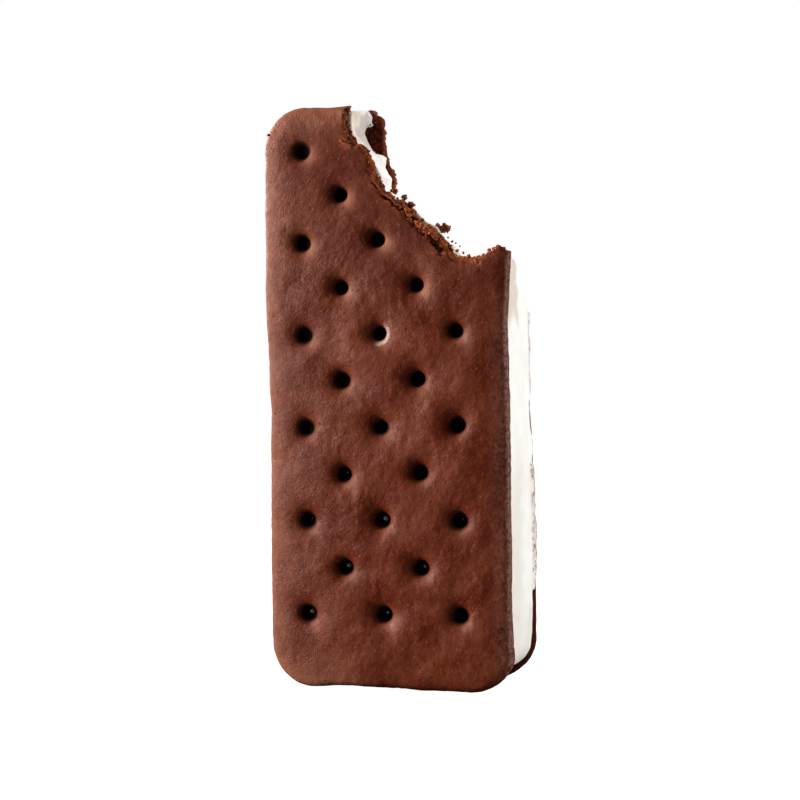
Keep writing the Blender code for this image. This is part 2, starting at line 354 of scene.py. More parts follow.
def ellipsoid(grid, centre, radii):
    """About the distance from an ellipsoid's surface, negative inside."""
    parts = [(c - m) / r for c, m, r in zip((grid.x, grid.y, grid.z), centre, radii)]
    return (np.sqrt(sum(part**2 for part in parts)) - 1) * min(radii)


def path_distance(x, z, path):
    """Distance in the face to a path of straight stretches."""
    nearest = np.inf
    for (x0, z0), (x1, z1) in zip(path, path[1:]):
        dx, dz = x1 - x0, z1 - z0
        share = np.clip(((x - x0) * dx + (z - z0) * dz) / (dx**2 + dz**2), 0, 1)
        nearest = np.minimum(nearest, np.hypot(x - x0 - share * dx, z - z0 - share * dz))
    return nearest


def rise(value, start, end):
    """Rises smoothly from zero at start to one at end."""
    share = np.clip((value - start) / (end - start), 0, 1)
    return share * share * (3 - 2 * share)


def fall(value, start, end):
    """Falls smoothly from one at start to zero at end."""
    return 1 - rise(value, start, end)


def field_at(field, grid, points):
    """The field's value at any points."""
    cells = []
    shares = []
    for coords, place in zip(grid.axes, points.T):
        cell = np.clip(np.searchsorted(coords, place) - 1, 0, len(coords) - 2)
        cells.append(cell)
        shares.append(np.clip((place - coords[cell]) / (coords[cell + 1] - coords[cell]), 0, 1))
    total = 0
    for corner in np.ndindex(2, 2, 2):
        weight = 1
        for share, far in zip(shares, corner):
            weight = weight * (share if far else 1 - share)
        total = total + weight * field[tuple(cell + far for cell, far in zip(cells, corner))]
    return total


# ------------ meshing


def edge_crossings(field, grid, axis):
    """Where the zero level cuts the grid's edges along one axis.

    Returns the places, the four cells round each, and which quads have to be turned over.
    """
    edges = np.argwhere(np.diff(field < 0, axis=axis))
    far = edges.copy()
    far[:, axis] += 1
    value_low = field[tuple(edges.T)]
    value_high = field[tuple(far.T)]
    places = np.stack([coords[i] for coords, i in zip(grid.axes, edges.T)], axis=1)
    step = grid.axes[axis][far[:, axis]] - places[:, axis]
    places[:, axis] += step * value_low / (value_low - value_high)
    b, c = (axis + 1) % 3, (axis + 2) % 3
    cell_shape = [n - 1 for n in field.shape]
    around = []
    for back_b, back_c in ((1, 1), (0, 1), (0, 0), (1, 0)):
        cell = edges.copy()
        cell[:, b] -= back_b
        cell[:, c] -= back_c
        around.append(np.ravel_multi_index(cell.T, cell_shape))
    return places, np.stack(around, axis=1), value_low > 0


def surface_net(field, grid):
    """Points and outward quads along the zero level of a field."""
    found = [edge_crossings(field, grid, axis) for axis in range(3)]
    crossings, cells, flips = (np.concatenate(parts) for parts in zip(*found))
    places = np.repeat(crossings, 4, axis=0)
    _, corners = np.unique(cells, return_inverse=True)
    corners = corners.reshape(-1)
    count = np.bincount(corners)
    points = np.stack([np.bincount(corners, places[:, k]) / count for k in range(3)], axis=1)
    quads = corners.reshape(-1, 4)
    quads[flips] = quads[flips][:, ::-1]
    return points, quads


def drop_islands(points, quads):
    """Keeps only the largest connected surface."""
    label = np.arange(len(points))
    ends = np.concatenate([quads[:, [0, 1]], quads[:, [1, 2]], quads[:, [2, 3]]])
    while True:
        lowest = np.minimum(label[ends[:, 0]], label[ends[:, 1]])
        new = label.copy()
        np.minimum.at(new, ends[:, 0], lowest)
        np.minimum.at(new, ends[:, 1], lowest)
        new = new[new]
        if np.array_equal(new, label):
            break
        label = new
    keep = label == np.bincount(label).argmax()
    renumber = np.cumsum(keep) - 1
    return points[keep], renumber[quads[keep[quads[:, 0]]]]


def mesh_object(name, points, faces):
    mesh = bpy.data.meshes.new(name)
    mesh.from_pydata((points * MM).tolist(), [], faces.tolist())
    obj = bpy.data.objects.new(name, mesh)
    bpy.context.scene.collection.objects.link(obj)
    return obj


def applied(obj):
    """Replaces the object's mesh with its evaluated one."""
    graph = bpy.context.evaluated_depsgraph_get()
    mesh = bpy.data.meshes.new_from_object(obj.evaluated_get(graph))
    obj.modifiers.clear()
    old = obj.data
    obj.data = mesh
    bpy.data.meshes.remove(old)


def sculpted(name, field, grid, triangles):
    """A smooth-shaded object along the zero level of a field, reduced to this many triangles."""
    points, quads = drop_islands(*surface_net(field, grid))
    obj = mesh_object(name, points, quads)
    reduce = obj.modifiers.new("Reduce", "DECIMATE")
    reduce.ratio = min(1, triangles / (2 * len(quads)))
    applied(obj)
    obj.data.shade_smooth()
    return obj


def listed(items, name, width, kind=np.float32):
    """An attribute of each item of a list in a mesh, as rows of numbers."""
    values = np.empty(len(items) * width, kind)
    items.foreach_get(name, values)
    return values.reshape(-1, width)


def vertex_places(obj):
    """The object's vertices in millimetres."""
    return listed(obj.data.vertices, "co", 3) / MM


def vertex_normals(obj):
    return listed(obj.data.vertices, "normal", 3)


def add_mask(obj, name, values):
    """Stores a value for each vertex, which the material reads."""
    attribute = obj.data.attributes.new(name, "FLOAT", "POINT")
    attribute.data.foreach_set("value", np.ascontiguousarray(values, np.float32))


# ------------ the food's shape

Hole = namedtuple("Hole", "row column x z radius")


def docking_holes(seed):
    """The docking holes of an unbitten wafer, each a little off its place and size."""
    random = np.random.default_rng(seed)
    holes = []
    for row in range(HOLE_ROWS):
        for column in (-2, 0, 2) if row % 2 == 0 else (-1, 1):
            x = HOLE_MIDDLE + column * HOLE_HALF_PITCH + random.normal(0, 0.07)
            z = HOLE_TOP_ROW - row * HOLE_ROW_PITCH + random.normal(0, 0.07)
            holes.append(Hole(row, column, x, z, HOLE_RADIUS * random.uniform(0.93, 1.08)))
    return holes


def bite_field(grid):
    """Negative in the eaten corner."""
    bite = np.float32(np.inf)
    for tooth in TEETH:
        way = ((FRONT_Y, 0), (SHOULDER_Y, tooth.shoulder), (BACK_INNER_Y, 1))
        share = between(way, grid.y)
        x = tooth.front[0] + (tooth.back[0] - tooth.front[0]) * share
        z = tooth.front[1] + (tooth.back[1] - tooth.front[1]) * share
        radius = tooth.radii[0] + (tooth.radii[1] - tooth.radii[0]) * share
        bite = np.minimum(bite, grid.away(x, z) - radius)
    return bite


def wafer_outline(grid, box, right_spread, seed):
    """Distance from the wafer's outline, which bulges and sags a little."""
    outline = rounded_rectangle(grid.x, grid.z, HALF_WIDTH, 0, box.high[2], CORNER_RADIUS)
    outline = outline + grid.face_noise((9, 0.1), (3, 0.05), seed=seed) - 0.05
    outline = outline - between(LEFT_SPREAD, grid.z) * rise(-grid.x, 8, 22)
    outline = outline - between(right_spread, grid.z) * rise(grid.x, 14, 23)
    sag = between(BOTTOM_SAG, grid.x) * fall(grid.z, 3, 10)
    raised_top = 0.15 * rise(grid.z, 100, 112)
    return outline - sag - raised_top


def wafer_face(grid, outline, holes, seed):
    """Relief of a wafer's outer face: swells, dimples, and a droop towards the rim."""
    relief = grid.face_noise((13, 0.3), (5.5, 0.22), (2.4, 0.09), (1.1, 0.045), (0.7, 0.035), seed=seed)
    inset = -np.minimum(outline, 0)
    relief = relief - 0.1 - 0.95 * np.exp(-inset / 2.2) - 0.15 * np.exp(-inset / 6)
    relief = relief - 0.55 * (grid.x / HALF_WIDTH) ** 2
    for hole in holes:
        away = grid.away(hole.x, hole.z)
        for deep, radius in DIMPLE:
            relief = relief - deep * np.exp(-((away / radius) ** 2))
    return relief


def whole_wafer(grid, box, outward, right_spread, holes, seed):
    """A wafer before the bite, the depth under its face's plane, and that under its real face.

    outward is the direction in Y of its outer face.
    """
    outer_y = box.low[1] if outward < 0 else box.high[1]
    depth = outward * (outer_y - grid.y)
    outline = wafer_outline(grid, box, right_spread, seed + 10)
    face = wafer_face(grid, outline, holes, seed + 20) + depth
    rough = outline + grid.noise((1.1, 0.06), (0.55, 0.05), seed=seed + 30)
    slab = fillet_max(rough, -face, FACE_ROUNDING)
    slab = fillet_max(slab, depth - WAFER_THICKNESS, INNER_ROUNDING)
    lip = HOLE_LIP - (HOLE_LIP - 0.05) * rise(depth, 2, 2.9)
    for hole in holes:
        radius = hole.radius - HOLE_TAPER * depth / WAFER_THICKNESS
        bore = grid.away(hole.x, hole.z) - radius
        bore = fillet_max(bore, depth - WAFER_THICKNESS + HOLE_FLOOR, INNER_ROUNDING)
        slab = fillet_max(slab, -bore, lip)
    return slab, depth, face


def crumble(grid, seed):
    """Lumps and layers with sharp creases between them, as in broken wafer."""
    soft = grid.noise((3, 0.4), seed=seed)
    lumps = np.abs(grid.noise((2, 1), seed=seed + 1, layers=1.3))
    flakes = np.abs(grid.noise((0.9, 0.6), seed=seed + 2, layers=1.5))
    return soft + lumps + flakes - 0.5


def flaked_depth(grid, bite, seed):
    """How much of the crust has flaked off beside the bite, in two ragged steps."""
    edge = bite[:, :1, :] + grid.face_noise((1.7, 0.4), (0.75, 0.28), seed=seed)
    worn = rise(grid.x, 3, 6) * fall(grid.x, 12, 15)
    patches = np.maximum(rise(grid.face_noise((4, 1), seed=seed + 5), -0.25, 0), worn)
    outer = fall(edge - 0.7 * worn, 1.3, 1.5) * patches
    inner = fall(edge, 0.35, 0.6)
    lumps = np.abs(grid.face_noise((1, 1), seed=seed + 8))
    return (0.22 + (0.1 + 0.6 * lumps) * worn) * outer + 0.32 * inner


def front_bite(grid, depth):
    """The front wafer's bite: a crumbling edge with ledges, pockets and cracks."""
    chips = np.abs(grid.face_noise((1.3, 0.7), seed=51)) * np.exp(-depth / 0.7)
    bite = bite_field(grid) + crumble(grid, seed=40) - chips
    for ledge in LEDGES:
        width = ledge.width * np.exp(-((grid.away(*ledge.centre) / ledge.spread) ** 2))
        bite = bite - width * fall(depth, ledge.depth - 0.5, ledge.depth)
    for pocket in POCKETS:
        x, under, z = pocket.centre
        hollow = ellipsoid(grid, (x, FRONT_Y + under, z), (pocket.radius,) * 3)
        bite = fillet_min(bite, hollow + grid.noise((0.9, 0.3), seed=61), 0.15)
    return np.minimum(bite, cracks(grid, depth))


def cracks(grid, depth):
    """Ragged cracks that narrow as they go in, and end on a lumpy floor."""
    wander = ((1.6, 0.45), (0.7, 0.3))
    x = grid.x + grid.face_noise(*wander, seed=71)
    z = grid.z + grid.face_noise(*wander, seed=75)
    ragged = grid.face_noise((1.2, 1), seed=79)
    lumps = np.abs(grid.noise((1.1, 0.8), seed=83))
    every = np.float32(np.inf)
    for crack in CRACKS:
        gap = path_distance(x, z, crack.path) - crack.width * (1 + 0.5 * ragged) + 0.12 * depth
        floor = crack.depth - crack.width * lumps
        every = np.minimum(every, np.maximum(gap, depth - floor))
    return every


def front_wafer():
    grid = Grid(
        ((-26.4, 0.36), (BITE_LEFT, 0.2), (26.8, None)),
        ((FRONT_Y - 0.8, 0.25), (FRONT_Y + 4.2, None)),
        ((-1.5, 0.36), (BITE_BOTTOM, 0.2), (118.2, None)),
    )
    holes = docking_holes(FRONT_HOLES_SEED)
    slab, depth, face = whole_wafer(grid, FRONT, -1, FRONT_RIGHT_SPREAD, holes, seed=100)
    field = np.maximum(slab, flaked_depth(grid, bite_field(grid), seed=130) - face)
    bite = front_bite(grid, depth)
    field = fillet_max(field, -bite, BREAK_ROUNDING)
    obj = sculpted("wafer_front_baked", field, grid, FRONT_TRIANGLES)
    finish_wafer(obj, slab, bite, grid, holes, FRONT_Y, -1)
    return obj


def torn_face(grid, depth):
    """The back wafer's inner face, torn and pitted where the ice cream came off it."""
    bitten_side = rise(grid.x + (grid.z - 106), -14, -8)
    pits = np.abs(grid.noise((1.9, 0.9), (0.9, 0.55), seed=330))
    return depth - WAFER_THICKNESS + (0.7 - pits) * bitten_side


def back_wafer():
    grid = Grid(
        ((-26.4, 0.36), (BITE_LEFT, 0.22), (26.8, None)),
        ((BACK_INNER_Y - 0.8, 0.25), (BACK.high[1] + 0.8, None)),
        ((-1.5, 0.36), (BITE_BOTTOM - 4, 0.22), (120.4, None)),
    )
    holes = docking_holes(BACK_HOLES_SEED)
    slab, depth, _ = whole_wafer(grid, BACK, 1, BACK_RIGHT_SPREAD, holes, seed=300)
    field = np.maximum(slab, torn_face(grid, depth))
    broken_further = fall(grid.z, 100, 102)
    bite = bite_field(grid) + 0.8 * crumble(grid, seed=240) - broken_further
    field = fillet_max(field, -bite, BREAK_ROUNDING)
    for lobe in LOBES:
        lump = ellipsoid(grid, lobe.centre, lobe.radii) + grid.noise((0.9, 0.35), seed=350)
        field = fillet_min(field, lump, 0.2)
    obj = sculpted("wafer_back_baked", field, grid, BACK_TRIANGLES)
    finish_wafer(obj, slab, bite, grid, holes, BACK.high[1], 1)
    return obj


def hollows(obj, rounds):
    """How far each vertex lies under the mean of the surface round it."""
    places = vertex_places(obj)
    ends = listed(obj.data.edges, "vertices", 2, np.int32)
    share = 1 / np.bincount(ends.reshape(-1), minlength=len(places))[:, None]
    a, b = ends.T
    mean = places
    for _ in range(rounds):
        total = np.stack([
            np.bincount(a, mean[b, k], len(places)) + np.bincount(b, mean[a, k], len(places))
            for k in range(3)
        ], axis=1)
        mean = total * share
    return np.sum((mean - places) * vertex_normals(obj), axis=1)


def add_hollow_mask(obj, rounds, depth):
    """Zero on ridges and one in hollows of this depth. The material paints shade into the hollows and
    highlights onto the ridges by it.
    """
    add_mask(obj, "hollow", 0.5 + 0.5 * np.tanh(hollows(obj, rounds) / depth))


def finish_wafer(obj, slab, bite, grid, holes, outer_y, outward):
    """Adds the masks that the wafer's material reads. The slab is the wafer before the bite."""
    places = vertex_places(obj)
    depth = outward * (outer_y - places[:, 1])
    broken = rise(-field_at(slab, grid, places), 0.24, 0.45)
    from_bite = np.maximum(field_at(bite, grid, places), 0)
    add_mask(obj, "broken", broken)
    # Painted shade deeper inside the broken crumb
    add_mask(obj, "deep", rise(depth, 0.8, 2.4))
    # Partly the broken edge's own colour, partly painted highlight along it and the cracks
    add_mask(obj, "lip", np.exp(-from_bite / 0.35))
    # The material paints shade into these hollows and highlights onto the ridges
    add_hollow_mask(obj, 8, 0.08)
    # Painted shade that darkens the docking holes, deepest inside
    add_mask(obj, "hole", painted_shade_in_holes(places, holes) * rise(depth, 1, 2.5))
    add_mask(obj, "inner", rise(depth, WAFER_THICKNESS - 0.9, WAFER_THICKNESS - 0.3))
    if outward < 0:
        add_mask(obj, "pale_crescent", pale_crescent(places, holes) * (depth < 1.6))
    mark_painted_light(obj, places, holes, broken)
    mark_baked_places(obj, places, from_bite)


def mark_painted_light(obj, places, holes, broken):
    """Masks of painted highlights on the left rim and corners and in spots below the holes, and of painted
    sheen along the right rim.
    """
    x, z = places[:, 0], places[:, 2]
    inset = -rounded_rectangle(x, z, HALF_WIDTH, 0, WAFER_TOP, CORNER_RADIUS)
    # Painted highlight near the outline on the left side, and below the holes
    left_rim = np.exp(-np.maximum(inset, 0) / 2.9) * rise(-x, -4, 14)
    add_mask(obj, "painted_highlight", np.maximum(left_rim, painted_highlight_below_holes(places, holes)))
    # Painted highlight on the left corners at the top and bottom
    near_end = fall(np.minimum(z, WAFER_TOP - z), 3, 10)
    corners = np.exp(-np.maximum(inset - 0.5, 0) / 3.5) * near_end * rise(-x, 4, 12)
    add_mask(obj, "painted_lit_corners", corners)
    # Painted sheen on faces turned to the right and along the right rim
    sideways = rise(vertex_normals(obj)[:, 0], 0.45, 0.85) * rise(x, 22, 24)
    right_rim = 0.4 * rise(x, 20.5, 25) * rise(80 - z, 0, 12)
    add_mask(obj, "painted_right_sheen", np.maximum(sideways, right_rim) * (1 - broken))


def mark_baked_places(obj, places, from_bite):
    """Masks of the darker upper part, and of where the crust is rough and wrinkled."""
    x, z = places[:, 0], places[:, 2]
    upper = rise(z, 74, 100) * rise(x, -23, -14) * fall(z, 110, 115)
    add_mask(obj, "baked", upper * (0.6 + 0.4 * np.exp(-from_bite / 9)))
    add_mask(obj, "rough", 0.5 + 0.4 * np.maximum(rise(-x, 3, 18), rise(z, 60, 100)))
    add_mask(obj, "wrinkled", rise(z, 60, 90) * rise(-x, -2, 8))


def painted_shade_in_holes(places, holes):
    """Painted shade: one inside the docking holes, fading out round their mouths."""
    inside = np.zeros(len(places))
    for hole in holes:
        away = np.hypot(places[:, 0] - hole.x, places[:, 2] - hole.z)
        inside = np.maximum(inside, fall(away, hole.radius + 0.3, hole.radius + 1.1))
    return inside


def painted_highlight_below_holes(places, holes):
    """A painted highlight at the lower right of each hole, larger and stronger higher up."""
    spots = np.zeros(len(places))
    for hole in holes:
        high = rise(hole.z, 60, 85)
        right = places[:, 0] - hole.x - 1.1 - 0.7 * high
        up = places[:, 2] - hole.z + 1.9 - 0.6 * high
        spot = np.exp(-((np.hypot(right, up) / (1.4 + 0.3 * high)) ** 2))
        spots = np.maximum(spots, (0.7 + 0.6 * high) * spot)
    return spots


def pale_crescent(places, holes):
    """A pale crescent at the lower right of one hole's mouth."""
    hole = next(hole for hole in holes if (hole.row, hole.column) == CRESCENT_HOLE)
    right = places[:, 0] - hole.x
    up = places[:, 2] - hole.z
    away = np.hypot(right, up)
    ring = np.exp(-(((away - hole.radius - 0.6) / 0.5) ** 4))
    return ring * rise((right - 0.5 * up) / np.maximum(away, 0.1), -0.1, 0.8)


def filling_outline(grid):
    """Distance from the slab's outline, which bulges at its sides."""
    x, y, z = grid.x, grid.y, grid.z
    bottom = FILLING.low[2] + 1.2 * rise(x, 0, 12)
    top = FILLING.high[2] + 2 * rise(x, -13, -9) * rise(y, 0, 4)
    radius = np.where((x > 0) & (z < 50), 4.5, CORNER_RADIUS)
    outline = rounded_rectangle(x, z, HALF_WIDTH - 0.3, bottom, top, radius)
    along = np.sqrt(np.abs(np.sin(pi * np.clip((z - 12) / 68, 0, 1))))
    through = np.cos(np.clip(y / ICE_HALF_THICKNESS, -1, 1) * pi / 2)
    outline = outline - 0.8 * along * through * rise(np.abs(x), 20, 24)
    spread = np.maximum(between(BACK_RIGHT_SPREAD, grid.z), 0)
    outline = outline - 0.8 * spread * rise(y, -3, 6) * rise(x, 14, 23)
    return outline + grid.noise((7, 0.2), (2.6, 0.12), (1.1, 0.06), seed=400)


def whole_filling(grid):
    """The ice cream before the bite, but with its worn tops and its smear."""
    slab = fillet_max(filling_outline(grid), np.abs(grid.y) - FILLING.high[1] + 0.02, 0.45)
    slab = fillet_min(slab, smear_field(grid), 0.25)
    side_top = between(SIDE_TOP, grid.y) + grid.noise((2.4, 0.3), seed=430)
    side_top = side_top + 2.5 * fall(grid.x, 18, 23)
    upper_top = between(UPPER_TOP, grid.y)
    upper_top = upper_top + grid.noise((1.5, 0.5), (0.7, 0.3), seed=435)
    upper_top = upper_top + 3 * fall(grid.x, -13, -9)
    return fillet_max(slab, grid.z - np.where(grid.x > 16, side_top, upper_top), 0.4)


def smear_field(grid):
    """Ice cream wiped back over the right side of the back wafer."""
    from_edge = grid.y - FILLING.high[1] + 1
    reach = between(SMEAR, grid.z)
    reach = reach + np.minimum(reach, 1) * grid.face_noise((3.5, 0.3), (1.4, 0.6), seed=420)
    across = from_edge / np.where(from_edge > 0, 1 + np.maximum(reach, 0.1), 3)
    side = HALF_WIDTH - 0.2 + between(BACK_RIGHT_SPREAD, grid.z) * rise(grid.y, 4.5, 7.2)
    smear = (np.hypot((grid.x - side) / 0.5, across) - 1) * 0.5
    end = 17.5 - 0.7 * (grid.y - 7.5) + grid.face_noise((1.1, 0.9), seed=425)
    return fillet_max(smear, end - grid.z, 0.8)


def filling_cut(grid):
    """Negative where ice cream is gone: in the bite and the gouge."""
    x, y, z = grid.x, grid.y, grid.z
    bite = bite_field(grid) + grid.noise((5.5, 0.5), (2.6, 0.3), (1.2, 0.15), (0.7, 0.09), seed=440)
    # More is gone at the top near the back wafer, and less near the front and at the right side
    bite = bite - 1.2 * rise(y, 3, 6.5) * rise(z, 99, 102)
    bite = bite + 0.6 * rise(x, 2, 6) * fall(y, -3, 2)
    bite = bite + 2 * rise(x, 20, 23.5) * fall(y, 2, 8)
    middle_x, middle_y, middle_z = GOUGE.centre
    leaning_x = middle_x + 0.6 * np.maximum(z - 112, 0)
    gouge = ellipsoid(grid, (leaning_x, middle_y, middle_z), GOUGE.radii)
    gouge = gouge + grid.noise((2.6, 1), (1.2, 0.6), (0.6, 0.4), seed=450)
    return fillet_min(bite, gouge, 0.3)


def filling():
    grid = Grid(
        ((-26.6, 0.45), (BITE_LEFT, 0.26), (27.2, None)),
        ((-9.6, 0.26), (11.4, None)),
        ((0.6, 0.4), (BITE_BOTTOM - 4, 0.26), (119.4, None)),
    )
    cut = filling_cut(grid)
    field = fillet_max(whole_filling(grid), -cut, 0.25)
    spill = ellipsoid(grid, SPILL.centre, SPILL.radii) + grid.noise((1.2, 0.3), seed=460)
    field = fillet_min(field, spill, 0.5)
    for hole in docking_holes(FRONT_HOLES_SEED):
        if (hole.row, hole.column) in NUBS:
            radius, height = NUBS[hole.row, hole.column]
            nub = ellipsoid(grid, (hole.x + 0.25, NUB_Y, hole.z + 0.3), (radius, height, radius))
            field = fillet_min(field, nub, 0.15)
    obj = sculpted("ice_cream_filling", field, grid, FILLING_TRIANGLES)
    finish_filling(obj, cut, grid)
    return obj


def finish_filling(obj, cut, grid):
    """Adds the masks that the ice cream's material reads."""
    places = vertex_places(obj)
    x, y, z = places.T
    bitten = fall(field_at(cut, grid, places), 0.15, 0.5)
    # Painted shade on the bitten surface, mostly high up
    add_mask(obj, "bitten", bitten * (0.15 + 0.85 * rise(z, 104, 111)))
    # Darker cream, partly painted shade near the front wafer and at the top
    add_mask(obj, "cream", cream_and_shade(places))
    # Painted shade on the ice cream inside the docking holes
    add_mask(obj, "nub", rise(-y, 7.2, 7.8))
    stained_from = 7.8 - 1.8 * fall(z, 43, 47)
    on_side = rise(y - stained_from, -0.8, 0.5) * rise(z, 18, 22)
    add_mask(obj, "smear", on_side * rise(x, 22, 24))


def cream_and_shade(places):
    """Where the right side is painted a darker cream: near the front wafer and at the top as painted shade,
    and low down.
    """
    y = places[:, 1] + 0.8 * np.sin(places[:, 2] * 0.9) * np.cos(places[:, 2] * 0.37)
    z = places[:, 2] + 1.5 * np.sin(places[:, 1] * 0.8)
    near = 0.8 * np.exp(-np.maximum(y - FILLING.low[1], 0) / 0.9)
    upper = rise(z, 70, 74) * fall(y, 0, 2.5)
    lower = 0.45 * fall(z, 35, 55) * fall(y, -2, 2)
    lowest = 0.4 * fall(z, 10, 20)
    return np.maximum.reduce([near, upper, lower, lowest]) * rise(places[:, 0], -5, 15)


def jagged_lump(radius, random):
    """Points and triangles of one crumb about the origin."""
    ball = bmesh.new()
    bmesh.ops.create_icosphere(ball, subdivisions=3 if radius > 0.45 else 2, radius=1)
    offset = Vector(random.uniform(-50, 50, 3))
    points = []
    for vertex in ball.verts:
        coarse = noise.noise(vertex.co * 1.3 + offset)
        fine = noise.noise(vertex.co * 3.1 + offset)
        points.append(vertex.co * (0.7 + 0.9 * abs(coarse) + 0.45 * fine))
    faces = np.array([[vertex.index for vertex in face.verts] for face in ball.faces])
    ball.free()
    turn = np.linalg.qr(random.normal(size=(3, 3)))[0]
    turn[0] *= np.sign(np.linalg.det(turn))
    return np.array(points) * random.uniform(0.7, 1.15, 3) @ turn * radius, faces


def scattered_crumbs(obj, mask, count, largest, random):
    """Crumbs half sunk in random places where the object's mask is full."""
    values = listed(obj.data.attributes[mask].data, "value", 1)
    chosen = random.choice(np.flatnonzero(values > 0.9), count, replace=False)
    radii = SMALLEST_CRUMB + (largest - SMALLEST_CRUMB) * random.random(count) ** 2
    places = vertex_places(obj)[chosen] + vertex_normals(obj)[chosen] * radii[:, None] * 0.1
    return [Crumb(place, radius) for place, radius in zip(places, radii)]


def crumbs(front, back, ice_cream):
    random = np.random.default_rng(CRUMBS_SEED)
    every = CRUMBS[:]
    sources = ((front, "broken"), (back, "broken"), (ice_cream, "bitten"))
    for (obj, mask), (number, largest) in zip(sources, MORE_CRUMBS):
        every += scattered_crumbs(obj, mask, number, largest, random)
    points = []
    faces = []
    count = 0
    for crumb in every:
        lump, triangles = jagged_lump(crumb.radius, random)
        points.append(lump + crumb.place)
        faces.append(triangles + count)
        count += len(lump)
    obj = mesh_object("crumbs_chocolate", np.concatenate(points), np.concatenate(faces))
    obj.data.shade_smooth()
    add_mask(obj, "broken", np.ones(count))
    add_hollow_mask(obj, 3, 0.05)
    return obj


# ------------ materials


# Sockets of a colour Mix node, which share their names with others
COLOUR_A, COLOUR_B, COLOUR_RESULT = 6, 7, 2


class Nodes:
    """Short calls for building the node tree of a material or a world."""

    def __init__(self, owner, shader="Principled BSDF"):
        owner.use_nodes = True
        self.owner = owner
        self.tree = owner.node_tree
        self.shader = self.tree.nodes[shader]
        self.place = self.add("TexCoord").outputs["Object"]

    def add(self, kind, inputs=(), **settings):
        """A node with these settings, and inputs as a name or number and what goes in."""
        node = self.tree.nodes.new("ShaderNode" + kind)
        for name, value in settings.items():
            setattr(node, name, value)
        for key, source in dict(inputs).items():
            self.link(source, node.inputs[key])
        return node

    def link(self, source, target):
        """Joins a socket to the target, or sets the target to a plain value."""
        if isinstance(source, bpy.types.NodeSocket):
            self.tree.links.new(source, target)
        else:
            target.default_value = (*source, 1) if target.type == "RGBA" else source

    def noise(self, size, detail=3, roughness=0.55, place=None):
        """Noise between about 0 and 1 with lumps of this size in millimetres."""
        inputs = {"Vector": place or self.place, "Scale": 1 / (size * MM), "Detail": detail}
        inputs["Roughness"] = roughness
        return self.add("TexNoise", inputs).outputs["Fac"]

    def dots(self, spacing, radius, offset):
        """One where a scatter of ragged dots is. Their radius is in units of their spacing."""
        shift = self.add("Mapping", {"Vector": self.place, "Location": offset})
        inputs = {"Vector": shift.outputs["Vector"], "Scale": 1 / (spacing * MM)}
        away = self.add("TexVoronoi", inputs).outputs["Distance"]
        ragged = self.math("ADD", away, self.span(self.noise(0.5), 0, 1, -0.12, 0.12))
        return self.span(ragged, radius * 0.7, radius * 1.3, 1, 0)

    def stretched(self, scale, turn):
        """Coordinates for lumps that are longer along an axis, turned by these angles."""
        inputs = {"Vector": self.place, "Rotation": turn, "Scale": scale}
        return self.add("Mapping", inputs, vector_type="TEXTURE").outputs["Vector"]

    def mask(self, name, strength=1):
        """The values that add_mask stored under this name."""
        value = self.add("Attribute", attribute_name=name).outputs["Fac"]
        return value if strength == 1 else self.times(value, strength)

    def math(self, operation, *values):
        return self.add("Math", enumerate(values), operation=operation).outputs["Value"]

    def times(self, first, second):
        return self.math("MULTIPLY", first, second)

    def span(self, value, low, high, to_low=0, to_high=1):
        """Maps low..high to to_low..to_high, held at the ends."""
        inputs = enumerate((value, low, high, to_low, to_high))
        node = self.add("MapRange", inputs, interpolation_type="SMOOTHSTEP")
        return node.outputs["Result"]

    def mix(self, share, first, second):
        """The first colour with this share of the second."""
        inputs = {"Factor": share, COLOUR_A: first, COLOUR_B: second}
        return self.add("Mix", inputs, data_type="RGBA").outputs[COLOUR_RESULT]

    def painted(self, colour, *layers):
        """The colour under layers, each a share and a colour, with the last on top."""
        for share, paint in layers:
            colour = self.mix(share, colour, paint)
        return colour

    def bump(self, height, distance, strength, normal=None):
        inputs = {"Height": height, "Distance": distance * MM, "Strength": strength}
        if normal is not None:
            inputs["Normal"] = normal
        return self.add("Bump", inputs).outputs["Normal"]

    def set(self, **inputs):
        """Joins or sets the shader's own inputs."""
        for name, value in inputs.items():
            self.link(value, self.shader.inputs[name.replace("_", " ")])


Patterns = namedtuple("Patterns", "slanted grain streaks mottle lumps hollow dots pores")


def wafer_patterns(n):
    slant = (0, radians(35), 0)
    slanted = n.stretched((1, 1, 2.1), slant)
    grain = n.noise(0.26, 3, 0.6, n.stretched((1, 1, 1.3), slant))
    return Patterns(
        slanted=slanted,
        grain=n.math("MULTIPLY_ADD", n.math("SUBTRACT", grain, 0.5), n.mask("rough"), 0.5),
        streaks=n.noise(0.4, 3, 0.6, slanted),
        mottle=n.noise(1.6, 4, 0.6),
        lumps=n.noise(0.5, 4, 0.7),
        hollow=n.mask("hollow"),
        dots=n.dots(1.15, 0.18, (0, 0, 0)),
        pores=n.dots(2.7, 0.075, (0.01, 0.04, 0.02)),
    )


